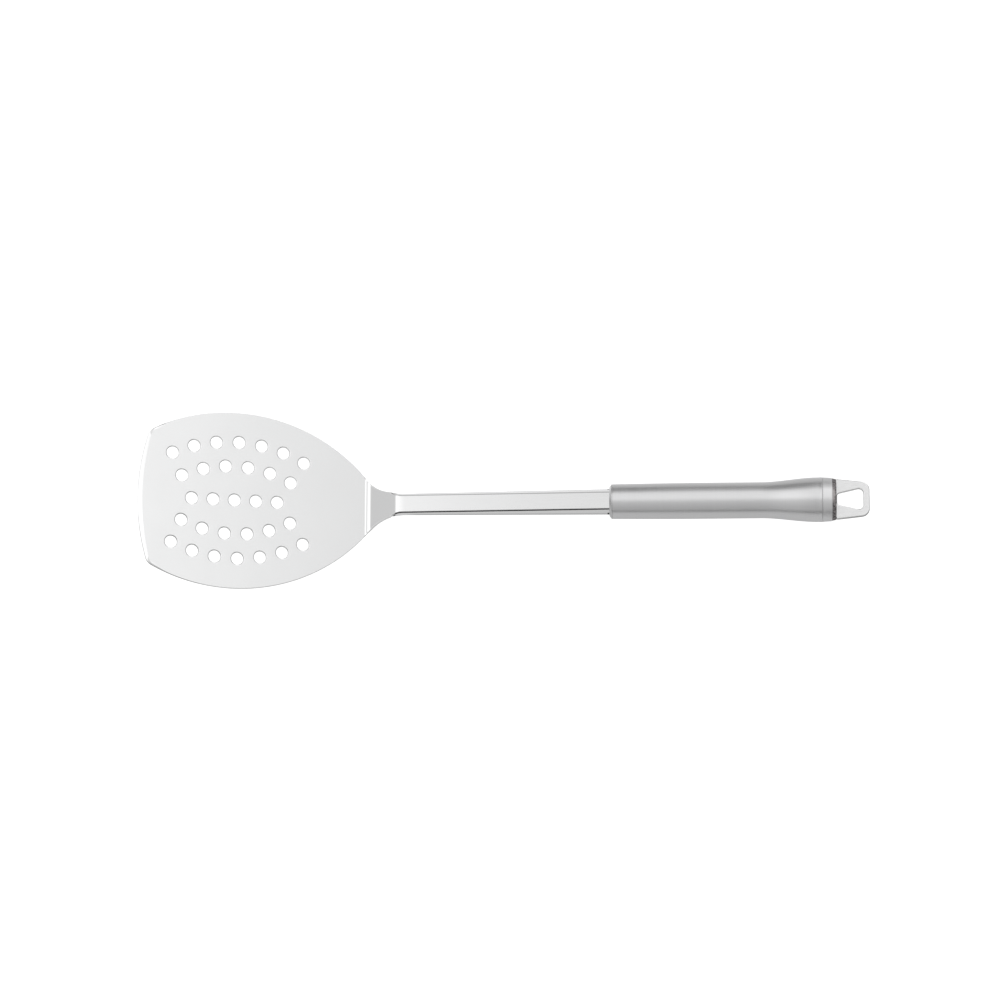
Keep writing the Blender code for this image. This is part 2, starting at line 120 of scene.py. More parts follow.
# Sizes of the finish alone. The grind and cut values are shares of the solid's ground edge, and the
# hastes are powers.
EDGE_ROUND = 0.0002
NOSE_ROUND = 0.0002
GRIND_IN_FRONT = 0.80
GRIND_AT_CORNER = 0.52
GRIND_PAST_CORNER = 0.36
CUT_PAST_CORNER = 0.08
GRIND_FADE = 0.0100
HOLE_ROLL = 0.00045
HOLE_ROLL_DEPTH = 0.00035
HOLE_BURR = 0.00012
CRANK_TIGHT_RADIUS = 0.0045
CRANK_TIGHT_TURN = math.radians(24.4)
CRANK_LOOSE_RADIUS = 0.1500
WIDTH_HASTE = 3
ANGLE_HASTE = 8
FOLD_ROUND = 0.0004
FOLD_SHIFT = 0.00098
FACET_WIDTH = 0.0008
FACET_START = math.radians(45.0)
FACET_END = math.radians(48.0)
JOINT_ROUND = 0.00018
REAR_JOINT_ROUND = 0.00030
RIM_BEAD = 0.00010
RIM_BEAD_LENGTH = 0.0010
CHAMFER_ROUND = 0.00045
BAND_ROUND = 0.0004
EYE_ROUND = 0.00055
EYE_ROOT = 0.0012
EYE_SHOULDER = 0.0008
EYE_HOLE_TIP_CORNER = 0.0024
TANG_SHOWN = 0.0016
END_LAND = 0.0011
END_LAND_STEP = 0.00001
END_DISC_RADIUS = 0.0002

# Stretches of painted shade on the stem and of dark and pale speckle on the cap, each as two distances:
# where it starts and where it is full.
FLANK_SHADE_INSIDE_RIM = (0.0008, 0.0004)
FLANK_SHADE_BEHIND_CRANK = (0.0040, 0.0100)
STEM_GAP_SHADOW_AHEAD_OF_PLUG = (0.0012, 0.0007)
STEM_GAP_SHADOW_ABOVE_AXIS = (0.0009, 0.0003)
CAP_DARK_PAST_TAPER = (-0.0001, 0.0002)
CAP_DARK_INSIDE_RIM = (0.0014, 0.0006)
CAP_DARK_OFF_EYE = (0.0016, 0.0006)
CAP_PALE_ASIDE = (0.0046, 0.0020)
CAP_PALE_PAST_TAPER = (0.0013, 0.0009)

# Light of the room, as (direction, brightness): by degrees from overhead toward +Y, and by X. The floor's
# painted glow, seen only in reflections, is by its X in front of the tool and by its Y behind it.
LIGHT_ACROSS = (
    (-92.0, 0.55), (-85.5, 0.55), (-84.0, 0.02), (-77.0, 0.02), (-75.5, 0.56), (-56.0, 0.49),
    (-30.0, 0.60), (-14.0, 0.63), (-3.0, 1.00), (9.0, 1.07), (22.0, 0.98), (40.0, 0.97),
    (51.0, 0.58), (61.0, 0.24), (90.0, 0.22),
)
LIGHT_ALONG = (
    (-0.95, 0.60), (-0.87, 0.65), (-0.80, 0.88), (-0.62, 1.35), (-0.25, 1.35), (-0.18, 1.22),
    (-0.145, 1.05), (-0.12, 0.91), (-0.09, 0.86), (0.00, 0.85), (0.06, 0.87), (0.12, 1.06),
    (0.21, 1.33), (0.30, 1.42), (0.54, 0.60), (0.64, 0.54), (0.78, 0.48), (0.95, 0.48),
)
SIDE_LIGHT = 0.9
SIDE_LIGHT_ACROSS = ((30.0, 0.0), (42.0, 1.0), (78.0, 1.0), (88.0, 0.0))
SIDE_LIGHT_ALONG = ((0.10, 0.0), (0.16, 1.0), (0.50, 1.0), (0.70, 0.0))
FLOOR_FRONT = (
    (-0.200, 0.15), (-0.172, 0.15), (-0.152, 0.42), (-0.075, 0.42), (-0.055, 0.48), (-0.040, 0.48),
    (0.050, 0.42), (0.164, 0.42), (0.173, 0.14),
)
FLOOR_BACK = ((0.018, 0.80), (0.022, 0.52), (0.050, 0.40))
FLOOR_LIGHT_REACH = 0.25
FLOOR_LIGHT_BORDER = 0.01
BRIGHTEST = 2.0

# Paper under the tool, and what the camera sees of the paper and of the room.
FLOOR_HALF = 6.0
PAPER_DARK = (0.29, 0.29, 0.29)
PAPER_LIGHT = (0.31, 0.31, 0.31)
PAPER_SCALE = 300.0
PAPER_DETAIL = 3.0
SEEN_FLOOR = (1.0, 1.0, 1.0)
SEEN_WORLD = (0.93, 0.93, 0.93)

# Lengths, angles and places that follow from the sizes above.
HALF_SHEET = SHEET / 2
HEEL_TURN = BLADE_ANGLE + NECK_ANGLE
HEEL_REACH = HEEL_RADIUS * math.tan(HEEL_TURN / 2)
CRANK_LOOSE_SLOPE = NECK_ANGLE - CRANK_TIGHT_TURN
CRANK_BENDS = (
    (CRANK_TIGHT_RADIUS, NECK_ANGLE, CRANK_LOOSE_SLOPE),
    (CRANK_LOOSE_RADIUS, CRANK_LOOSE_SLOPE, 0.0),
)
CRANK_RISE = sum(radius * (math.cos(end) - math.cos(start)) for radius, start, end in CRANK_BENDS)
CRANK_RUN = sum(radius * (start - end) for radius, start, end in CRANK_BENDS)
CRANK_START = NECK_LENGTH - CRANK_RISE / math.sin(NECK_ANGLE)
SEAM = HEEL_REACH + WELD_LAND
CRANK_POINT = Vector((-STEM_LENGTH, 0.0, STEM_TOP - HALF_SHEET))
NECK_DIRECTION = Vector((math.cos(NECK_ANGLE), 0.0, math.sin(NECK_ANGLE)))
BLADE_DIRECTION = Vector((math.cos(BLADE_ANGLE), 0.0, -math.sin(BLADE_ANGLE)))
BLADE_UP = Vector((math.sin(BLADE_ANGLE), 0.0, math.cos(BLADE_ANGLE)))
HEEL_POINT = CRANK_POINT - NECK_LENGTH * NECK_DIRECTION
HEEL_CENTRE = HEEL_POINT - BLADE_DIRECTION * HEEL_REACH + HEEL_RADIUS * BLADE_UP
STEM_END = NECK_LENGTH + STEM_LENGTH
TUBE_START = PLUG_RIM + WELD_GAP
TUBE_END = TUBE_START + TUBE_LENGTH
CAP_START = TUBE_END + WELD_GAP
CAP_END = CAP_START + CAP_TAPER + CAP_BAND
EYE_START = CAP_END + WELD_GAP
EYE_TIP = EYE_START + EYE_LENGTH
FRONT_JOINT = (PLUG_RIM + TUBE_START) / 2
REAR_JOINT = (TUBE_END + CAP_START) / 2

# Facets of round forms, and steps along the blade's edge, the stem, its section and the tube.
HOLE_FACETS = 56
TURN_FACETS = 192
EYE_CORNER_FACETS = 14
ROUND_STEPS = 6
FRONT_STEPS = 40
CORNER_STEPS = 20
SIDE_STEPS = 120
HEEL_STEPS = 24
NECK_STEPS = 24
BEND_STEPS = 72
STRAIGHT_STEPS = 24
WEB_STEPS = 6
FOLD_STEPS = 16
FLANGE_STEPS = 6
FLANK_STEPS = 8
TUBE_STEPS = 150
SHARP_ANGLE = math.radians(38.0)
FLAT_FACE_WEIGHT = 80
SAME_PLACE = 1e-9


def mix(first, second, share):
    return first + (second - first) * share


def smooth_step(value):
    value = min(max(value, 0.0), 1.0)
    return value * value * (3.0 - 2.0 * value)


def steps(start, end, count):
    """Evenly spaced values, both ends included."""
    return [mix(start, end, step / count) for step in range(count + 1)]


def direction(angle):
    return Vector((math.cos(angle), math.sin(angle)))


def heading(centre, point):
    return math.atan2(point.y - centre.y, point.x - centre.x)


def circles_meet(first, first_radius, second, second_radius):
    """The meeting point of two circles with the larger second coordinate."""
    between = second - first
    distance = between.length
    along = (distance ** 2 + first_radius ** 2 - second_radius ** 2) / (2 * distance)
    across = math.sqrt(first_radius ** 2 - along ** 2)
    middle = first + between * (along / distance)
    side = Vector((-between.y, between.x)) / distance
    return max(middle + side * across, middle - side * across, key=lambda point: point.y)


# Frames

def rest_angle():
    """Tilt that brings the heel's underside and the handle's rear rim onto one table."""
    rim = Vector((TUBE_END, 0.0, -TUBE_REAR_RADIUS))
    from_heel = rim - Matrix.Rotation(-STEM_SLOPE, 3, "Y") @ HEEL_CENTRE
    drop = math.asin((HEEL_RADIUS + HALF_SHEET) / from_heel.length)
    return -math.atan2(from_heel.z, from_heel.x) - drop


def tool_frame():
    """Place of the tool frame in the row frame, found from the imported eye, which is flat and even."""
    low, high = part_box("hanging_eye")
    turn = Matrix.Rotation(-rest_angle(), 4, "Y")
    middle = Vector(((EYE_START - EYE_TANG_LENGTH + EYE_TIP) / 2, 0.0, 0.0))
    return Matrix.Translation((low + high) / 2 - turn @ middle) @ turn


TOOL = tool_frame()
STEM_LINE = TOOL @ Matrix.Rotation(-STEM_SLOPE, 4, "Y")
BLADE = STEM_LINE @ Matrix.Translation(HEEL_POINT) @ Matrix.Rotation(BLADE_ANGLE, 4, "Y")


# Mesh building

def join_rings(shape, rings):
    """Quads between neighbouring rings of vertices."""
    count = len(rings[0])
    for ring, following in zip(rings, rings[1:]):
        for index in range(count):
            after = (index + 1) % count
            shape.faces.new((ring[index], ring[after], following[after], following[index]))


def add_rings(shape, rings):
    return [[shape.verts.new(point) for point in ring] for ring in rings]


def fill_face(shape, loops):
    """A flat face inside the first loop of vertices and outside the others, all of them convex."""
    corners = [vertex for loop in loops for vertex in loop]
    owner = [number for number, loop in enumerate(loops) for _ in loop]
    edges = []
    start = 0
    for loop in loops:
        count = len(loop)
        edges += [(start + index, start + (index + 1) % count) for index in range(count)]
        start += count
    inside_edges = 1
    flat = [vertex.co.xy for vertex in corners]
    triangles = delaunay_2d_cdt(flat, edges, [], inside_edges, SAME_PLACE)[2]
    for triangle in triangles:
        # A triangle with all its corners on one hole's rim lies in that hole.
        owners = {owner[index] for index in triangle}
        if len(owners) > 1 or owners == {0}:
            shape.faces.new([corners[index] for index in triangle])


def plate_shape(outline, holes):
    """A plate from the rings of its edge and of its holes, each listed from the top face down."""
    shape = bmesh.new()
    edge = add_rings(shape, outline)
    cuts = [add_rings(shape, rings) for rings in holes]
    for rings in [edge] + cuts:
        join_rings(shape, rings)
    fill_face(shape, [edge[0]] + [rings[0] for rings in cuts])
    fill_face(shape, [edge[-1]] + [rings[-1] for rings in cuts])
    return shape, edge


def rounded_rim(across, down, top):
    """Points of a rounded edge from the top face to the upright side, as (inset, height)."""
    rim = []
    for angle in steps(0.0, math.pi / 2, ROUND_STEPS):
        rim.append((across * (1.0 - math.sin(angle)), top - down * (1.0 - math.cos(angle))))
    return rim


def rounded_side(rounding, half):
    """Points of an upright side with both its edges rounded, from the top face down."""
    upper = rounded_rim(rounding, rounding, half)
    return upper + [(inset, -height) for inset, height in upper[::-1]]


def turned_shape(profile):
    """A solid of revolution about X from (along, radius) points, closed at both ends."""
    shape = bmesh.new()
    rings = []
    for along, radius in profile:
        ring = []
        for facet in range(TURN_FACETS):
            angle = math.tau * facet / TURN_FACETS
            ring.append((along, radius * math.cos(angle), radius * math.sin(angle)))
        rings.append(ring)
    rows = add_rings(shape, rings)
    join_rings(shape, rows)
    for row in (rows[0], rows[-1]):
        shape.faces.new(row)
    return shape


def make_piece(name, shape, place, material, sharp_edges=()):
    """A shown piece that stands for the CAD node of the same name with its slot."""
    bmesh.ops.recalc_face_normals(shape, faces=shape.faces)
    for face in shape.faces:
        face.smooth = True
    for edge in shape.edges:
        edge.smooth = edge.calc_face_angle(math.pi) < SHARP_ANGLE
    for edge in sharp_edges:
        edge.smooth = False
    mesh = bpy.data.meshes.new(name + "_finish")
    shape.to_mesh(mesh)
    shape.free()
    mesh.materials.append(material)
    piece = bpy.data.objects.new(name + "_finish", mesh)
    bpy.context.scene.collection.objects.link(piece)
    piece.matrix_world = place
    even = piece.modifiers.new("flat_stays_flat", "WEIGHTED_NORMAL")
    even.keep_sharp = True
    even.weight = FLAT_FACE_WEIGHT
    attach(piece, "root")
    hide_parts(name)


# Blade

def side_half_width(ahead):
    """Half width of the blade's side arc at a distance ahead of the heel."""
    return math.sqrt(SIDE_RADIUS ** 2 - (ahead - ARC_CENTRE_AHEAD) ** 2) - ARC_CENTRE_ASIDE


def blade_half_edge():
    """The blade's edge from the front's middle to the weld, as arc stations.

    Each is (centre, radius, angle, share of the ground edge's width, share of its depth).
    """
    side = Vector((ARC_CENTRE_AHEAD, -ARC_CENTRE_ASIDE))
    front = Vector((BLADE_LENGTH - FRONT_RADIUS, 0.0))
    corner = circles_meet(side, SIDE_RADIUS - CORNER_RADIUS, front, FRONT_RADIUS - CORNER_RADIUS)
    leaves_front = heading(front, corner)
    meets_side = heading(side, corner)
    ends_side = heading(side, Vector((SEAM, side_half_width(SEAM))))
    stations = []
    for share in steps(0.0, 1.0, FRONT_STEPS):
        ground = mix(GRIND_IN_FRONT, GRIND_AT_CORNER, share ** 2)
        stations.append((front, FRONT_RADIUS, leaves_front * share, ground, ground))
    for share in steps(0.0, 1.0, CORNER_STEPS)[1:]:
        ground = mix(GRIND_AT_CORNER, GRIND_PAST_CORNER, share)
        cut = mix(GRIND_AT_CORNER, CUT_PAST_CORNER, math.sqrt(share))
        stations.append((corner, CORNER_RADIUS, mix(leaves_front, meets_side, share), ground, cut))
    for angle in steps(meets_side, ends_side, SIDE_STEPS)[1:]:
        left = 1.0 - smooth_step((angle - meets_side) * SIDE_RADIUS / GRIND_FADE)
        stations.append((side, SIDE_RADIUS, angle, GRIND_PAST_CORNER * left, CUT_PAST_CORNER * left))
    return stations


def edge_profiles():
    """Sections of the blade's edge from the top face down: (inset, height) at the sides and in front."""
    side = rounded_side(EDGE_ROUND, HALF_SHEET)
    fall = (SHEET - EDGE_THICKNESS) / EDGE_BEVEL
    ground = []
    for inset in steps(EDGE_BEVEL, NOSE_ROUND, ROUND_STEPS):
        ground.append((inset, HALF_SHEET - fall * (EDGE_BEVEL - inset)))
    nose_top = ground[-1][1]
    nose = []
    for share in steps(0.0, 1.0, ROUND_STEPS + 1)[1:]:
        nose.append((NOSE_ROUND * (1.0 - math.sin(math.pi * share)), mix(nose_top, -HALF_SHEET, share)))
    return side, ground + nose


def blade_rings():
    """Rings round the blade's edge, from the top face down."""
    stations = blade_half_edge()
    rear_half_width = side_half_width(SEAM)
    rings = []
    for (side_inset, side_height), (front_inset, front_height) in zip(*edge_profiles()):
        half = []
        for centre, radius, angle, ground, cut in stations:
            inset = mix(side_inset, front_inset, ground)
            height = mix(side_height, front_height, cut)
            point = centre + (radius - inset) * direction(angle)
            half.append(Vector((-point.x, point.y, height)))
        half[-1] = Vector((-SEAM, rear_half_width - side_inset, side_height))
        other = [Vector((point.x, -point.y, point.z)) for point in half[:0:-1]]
        rings.append(half + other)
    return rings


def hole_centres():
    """Places of the holes: two rows on arcs at each side and a straight one in the middle."""
    centres = []
    rows = (
        (OUTER_ROW_RADIUS, OUTER_ROW_HOLES, OUTER_PITCH, OUTER_FRONT_MARGIN),
        (INNER_ROW_RADIUS, INNER_ROW_HOLES, INNER_PITCH, INNER_FRONT_MARGIN),
    )
    for radius, count, pitch, margin in rows:
        first_angle = math.asin((BLADE_LENGTH - margin - ARC_CENTRE_AHEAD) / radius)
        for index in range(count):
            angle = first_angle - index * pitch / radius
            ahead = ARC_CENTRE_AHEAD + radius * math.sin(angle)
            aside = radius * math.cos(angle) - ARC_CENTRE_ASIDE
            centres += [(-ahead, aside), (-ahead, -aside)]
    for index in range(MIDDLE_ROW_HOLES):
        centres.append((MIDDLE_FRONT_MARGIN + index * MIDDLE_PITCH - BLADE_LENGTH, 0.0))
    return centres


def hole_rings(centre):
    """A punched hole: its upper rim is drawn in round, its lower rim has a small broken edge."""
    sections = rounded_rim(HOLE_ROLL, HOLE_ROLL_DEPTH, HALF_SHEET)
    sections += [(0.0, HOLE_BURR - HALF_SHEET), (HOLE_BURR, -HALF_SHEET)]
    rings = []
    for widening, height in sections:
        radius = HOLE_DIAMETER / 2 + widening
        ring = []
        for facet in range(HOLE_FACETS):
            point = Vector(centre) + radius * direction(math.tau * facet / HOLE_FACETS)
            ring.append((point.x, point.y, height))
        rings.append(ring)
    return rings


def make_blade(material):
    shape, edge = plate_shape(blade_rings(), [hole_rings(centre) for centre in hole_centres()])
    # The ground edge starts at a crisp line in the top face.
    stations = blade_half_edge()
    top = edge[0]
    crisp = sum(ground > GRIND_PAST_CORNER / 2 for *_, ground, _ in stations)
    ground_line = [shape.edges.get((top[index], top[index + 1])) for index in range(crisp - 1)]
    ground_line += [shape.edges.get((top[-index], top[-index - 1])) for index in range(1, crisp - 1)]
    ground_line.append(shape.edges.get((top[0], top[-1])))
    make_piece("blade", shape, BLADE, material, ground_line)


# Stem

def path(distance):
    """Place and slope of the strip's mid plane, by distance behind the heel line."""
    if distance <= -HEEL_REACH:
        return HEEL_POINT + BLADE_DIRECTION * distance, -BLADE_ANGLE
    if distance < HEEL_REACH:
        slope = -BLADE_ANGLE + HEEL_TURN * (distance + HEEL_REACH) / (2 * HEEL_REACH)
        return HEEL_CENTRE + HEEL_RADIUS * Vector((math.sin(slope), 0.0, -math.cos(slope))), slope
    point = HEEL_POINT + NECK_DIRECTION * min(distance, CRANK_START)
    slope = NECK_ANGLE
    rest = max(distance - CRANK_START, 0.0)
    # The crank is a tight bend that runs out in a loose one.
    for radius, start, end in CRANK_BENDS:
        slope = start - min(rest / radius, start - end)
        along = math.sin(start) - math.sin(slope)
        rise = math.cos(slope) - math.cos(start)
        point += radius * Vector((along, 0.0, rise))
        rest -= radius * (start - slope)
        if slope > end:
            break
    return point + Vector((max(rest, 0.0), 0.0, 0.0)), slope


def strip_half_width(distance):
    """Half width of the strip seen from above, by distance behind the heel line."""
    fillet_aside = NECK_HALF_WIDTH + NECK_FILLET
    reach = math.sqrt((SIDE_RADIUS + NECK_FILLET) ** 2 - (ARC_CENTRE_ASIDE + fillet_aside) ** 2)
    narrowest = reach - ARC_CENTRE_AHEAD
    tangent = SIDE_RADIUS / (SIDE_RADIUS + NECK_FILLET) * reach - ARC_CENTRE_AHEAD
    if distance < tangent:
        return side_half_width(-distance)
    if distance > STEM_END - END_LAND:
        return STEM_BASE_HALF
    short = max(narrowest - distance, 0.0)
    neck = fillet_aside - math.sqrt(NECK_FILLET ** 2 - short ** 2)
    stem = mix(STEM_FRONT_HALF, STEM_BASE_HALF, max(distance - NECK_LENGTH, 0.0) / STEM_LENGTH)
    return mix(neck, stem, smooth_step((distance - NECK_LENGTH + FOLD_START) / FOLD_RUN))


def fold_share(distance, haste):
    """How far the edges are turned down behind the heel line: nought on the neck, then up to one.

    The haste is the power that makes the share rise fast at first.
    """
    share = min(max((distance - NECK_LENGTH + FOLD_START) / FOLD_RUN, 0.0), 1.0)
    return 1.0 - (1.0 - share) ** haste


def flat_half_at(distance):
    """Half width of the flat web, by distance behind the heel line: all of the strip on the neck."""
    return mix(strip_half_width(distance), STEM_FLAT_HALF + FOLD_SHIFT, fold_share(distance, WIDTH_HASTE))


def fold_arcs(spare, steepest):
    """The turned edge's arcs as (radius, start, end), in as far as they fit in the spare width."""
    facet_radius = FACET_WIDTH / (FACET_END - FACET_START)
    arcs = (
        (FOLD_ROUND, 0.0, FACET_START),
        (facet_radius, FACET_START, FACET_END),
        (FOLD_ROUND, FACET_END, FOLD_ANGLE),
    )
    fitted = []
    for radius, start, end in arcs:
        sine = min(math.sin(start) + spare / radius, math.sin(min(end, steepest)))
        fitted.append((radius, start, math.asin(sine)))
        spare -= radius * (sine - math.sin(start))
        if spare <= 0.0 or end >= steepest:
            break
    return fitted


def inner_side(rim, facing, folded, count):
    """Points from the rim's inner side to the underside's middle, with a sharp corner under the fold."""
    start = rim - SHEET * facing
    middle = Vector((0.0, -HALF_SHEET))
    climb = Vector((-facing.y, facing.x))
    least_tilt = 1e-6
    flank = max((middle.y - start.y) / max(facing.x, least_tilt), 0.0)
    corner = start + flank * climb
    whole = flank + (middle - corner).length
    on_fold = steps(0.0, flank, FLANK_STEPS) + steps(flank, whole, count - FLANK_STEPS)[1:]
    points = []
    for even, bent in list(zip(steps(0.0, whole, count), on_fold))[1:]:
        run = mix(even, bent, folded)
        if run < flank:
            points.append(start + run * climb)
        else:
            points.append(corner.lerp(middle, (run - flank) / (whole - flank)))
    return points


def half_section(half_width, flat_half, steepest):
    """Right half of the folded strip's section, from the top's middle round to the underside's middle."""
    arcs = fold_arcs(half_width - flat_half, steepest)
    fold = arcs[-1][2]
    folded = fold / FOLD_ANGLE
    bend = sum(radius * (end - start) for radius, start, end in arcs)
    reach = sum(radius * (math.sin(end) - math.sin(start)) for radius, start, end in arcs)
    whole = flat_half + bend + (half_width - flat_half - reach) / math.cos(fold)

    def outer(run):
        """Point and outward normal on the upper surface, by distance from its middle."""
        point = Vector((min(run, flat_half), HALF_SHEET))
        rest = max(run - flat_half, 0.0)
        angle = 0.0
        for radius, start, end in arcs:
            angle = start + min(rest / radius, end - start)
            aside = math.sin(angle) - math.sin(start)
            rise = math.cos(angle) - math.cos(start)
            point += radius * Vector((aside, rise))
            rest -= radius * (angle - start)
            if angle < end:
                break
        normal = Vector((math.sin(angle), math.cos(angle)))
        return point + max(rest, 0.0) * Vector((normal.y, -normal.x)), normal

    # Where little is folded, the points spread evenly along the strip instead of along the fold.
    rim = whole - EDGE_ROUND
    bend_end = min(flat_half + bend, rim - EDGE_ROUND)
    flat_end = min(flat_half, bend_end - EDGE_ROUND)
    on_fold = steps(0.0, flat_end, WEB_STEPS)[:-1]
    on_fold += steps(flat_end, bend_end, FOLD_STEPS)
    on_fold += steps(bend_end, rim, FLANGE_STEPS)[1:]
    on_flat = steps(0.0, rim, len(on_fold) - 1)
    surface = [outer(mix(even, bent, folded)) for even, bent in zip(on_flat, on_fold)]
    end, normal = outer(whole)
    down = Vector((normal.y, -normal.x))
    section = [point for point, _ in surface]
    upper = end - EDGE_ROUND * (down + normal)
    lower = end - EDGE_ROUND * down + (EDGE_ROUND - SHEET) * normal
    angles = steps(0.0, math.pi / 2, ROUND_STEPS // 2)
    for angle in angles[1:]:
        section.append(upper + EDGE_ROUND * (math.cos(angle) * normal + math.sin(angle) * down))
    for angle in angles:
        section.append(lower + EDGE_ROUND * (math.cos(angle) * down - math.sin(angle) * normal))
    return section + inner_side(*surface[-1], folded, len(surface) - 1)


def stem_stations():
    """Distances behind the heel line at which the stem has a section, close together in its bends."""
    fold_start = NECK_LENGTH - FOLD_START
    neck_end = min(CRANK_START, fold_start)
    bends_end = max(CRANK_START + CRANK_RUN, fold_start + FOLD_RUN)
    land = STEM_END - END_LAND
    stations = [-SEAM]
    stations += steps(-HEEL_REACH, HEEL_REACH, HEEL_STEPS)
    stations += steps(HEEL_REACH, neck_end, NECK_STEPS)[1:]
    stations += steps(neck_end, bends_end, BEND_STEPS)[1:]
    stations += steps(bends_end, land, STRAIGHT_STEPS)[1:]
    stations += [land + END_LAND_STEP, STEM_END + TANG_SHOWN]
    return stations


def make_stem(material):
    shape = bmesh.new()
    rings = []
    for distance in stem_stations():
        place, slope = path(distance)
        up = Vector((-math.sin(slope), 0.0, math.cos(slope)))
        steepest = FOLD_ANGLE * fold_share(distance, ANGLE_HASTE)
        half = half_section(strip_half_width(distance), flat_half_at(distance), steepest)
        section = half + [Vector((-point.x, point.y)) for point in half[-2:0:-1]]
        rings.append([place + Vector((0.0, point.x, 0.0)) + up * point.y for point in section])
    rows = add_rings(shape, rings)
    join_rings(shape, rows)
    shape.faces.new(rows[0])
    shape.faces.new(rows[-1])
    make_piece("stem", shape, STEM_LINE, material)


# Handle

def rounded_profile(corners):
    """A profile of (along, radius) points, from corners given as (along, radius, rounding)."""
    points = [corners[0][:2]]
    for before, here, after in zip(corners, corners[1:], corners[2:]):
        corner = Vector(here[:2])
        back = (Vector(before[:2]) - corner).normalized()
        forth = (Vector(after[:2]) - corner).normalized()
        if here[2] == 0.0:
            points.append(here[:2])
            continue
        reach = here[2] / math.tan(back.angle(forth) / 2)
        start = corner + back * reach
        end = corner + forth * reach
        for share in steps(0.0, 1.0, ROUND_STEPS):
            point = start * (1 - share) ** 2 + corner * (2 * share * (1 - share)) + end * share ** 2
            points.append(tuple(point))
    points.append(corners[-1][:2])
    return points


def make_front_plug(material):
    core = TUBE_FRONT_RADIUS - TUBE_WALL
    profile = rounded_profile([
        (TUBE_START + TUBE_WALL, END_DISC_RADIUS, 0.0),
        (TUBE_START + TUBE_WALL, core, 0.0),
        (FRONT_JOINT, core, 0.0),
        (FRONT_JOINT, TUBE_FRONT_RADIUS, JOINT_ROUND),
        (PLUG_RIM - PLUG_LAND, TUBE_FRONT_RADIUS, CHAMFER_ROUND),
        (0.0, PLUG_FACE_RADIUS, CHAMFER_ROUND),
        (0.0, END_DISC_RADIUS, 0.0),
    ])
    make_piece("front_plug", turned_shape(profile), TOOL, material)


def tube_radius(along):
    """Outer radius of the handle by distance behind the plug's front face."""
    swell = TUBE_MID_RADIUS - TUBE_FRONT_RADIUS
    share = smooth_step((along - TUBE_START + SWELL_LENGTH) / (2 * SWELL_LENGTH)) * 2.0 - 1.0
    flare_start = TUBE_END - REAR_LAND - FLARE_LENGTH
    flare = TUBE_REAR_RADIUS - TUBE_MID_RADIUS
    radius = TUBE_FRONT_RADIUS + swell * share + flare * smooth_step((along - flare_start) / FLARE_LENGTH)
    bead = smooth_step((along - TUBE_END + RIM_BEAD_LENGTH) / RIM_BEAD_LENGTH * 2)
    return radius + RIM_BEAD * bead


def make_tube(material):
    wall_start = TUBE_START + JOINT_ROUND * 2
    wall_end = TUBE_END - REAR_JOINT_ROUND * 2
    corners = [
        (FRONT_JOINT, TUBE_FRONT_RADIUS - TUBE_WALL, 0.0),
        (FRONT_JOINT, TUBE_FRONT_RADIUS, JOINT_ROUND),
    ]
    for along in steps(wall_start, wall_end, TUBE_STEPS):
        corners.append((along, tube_radius(along), 0.0))
    corners.append((REAR_JOINT, tube_radius(TUBE_END), REAR_JOINT_ROUND))
    corners.append((REAR_JOINT, TUBE_REAR_RADIUS - TUBE_WALL, 0.0))
    make_piece("handle_tube", turned_shape(rounded_profile(corners)), TOOL, material)


def make_end_cap(material):
    spigot = TUBE_REAR_RADIUS - TUBE_WALL
    profile = rounded_profile([
        (TUBE_END - TUBE_WALL, END_DISC_RADIUS, 0.0),
        (TUBE_END - TUBE_WALL, spigot, 0.0),
        (REAR_JOINT, spigot, 0.0),
        (REAR_JOINT, CAP_JOINT_RADIUS, REAR_JOINT_ROUND),
        (CAP_START + CAP_TAPER, CAP_END_RADIUS, JOINT_ROUND),
        (CAP_START + CAP_TAPER, CAP_BAND_RADIUS, 0.0),
        (CAP_END, CAP_BAND_END_RADIUS, BAND_ROUND),
        (CAP_END, END_DISC_RADIUS, 0.0),
    ])
    make_piece("end_cap", turned_shape(profile), TOOL, material)


# Hanging eye

def rounded_outline(corners):
    """A closed outline with rounded corners, from (x, y, radius): (point, outward normal) pairs."""
    pairs = []
    for index, (x, y, radius) in enumerate(corners):
        here = Vector((x, y))
        before = (Vector(corners[index - 1][:2]) - here).normalized()
        after = (Vector(corners[(index + 1) % len(corners)][:2]) - here).normalized()
        half = before.angle(after) / 2
        inward = (before + after).normalized()
        centre = here + inward * (radius / math.sin(half))
        start = here + before * (radius / math.tan(half)) - centre
        turn = math.pi - 2 * half
        for angle in steps(0.0, turn, EYE_CORNER_FACETS):
            spoke = Matrix.Rotation(angle, 2) @ start
            pairs.append((centre + spoke, spoke.normalized()))
    return pairs


def eye_rings(pairs, outward):
    """Rings of a plate's edge with both corners rounded, from the top face down."""
    rings = []
    for inset, height in rounded_side(EYE_ROUND, EYE_THICKNESS / 2):
        ring = []
        for point, normal in pairs:
            moved = point - outward * inset * normal
            ring.append((moved.x, moved.y, height))
        rings.append(ring)
    return rings


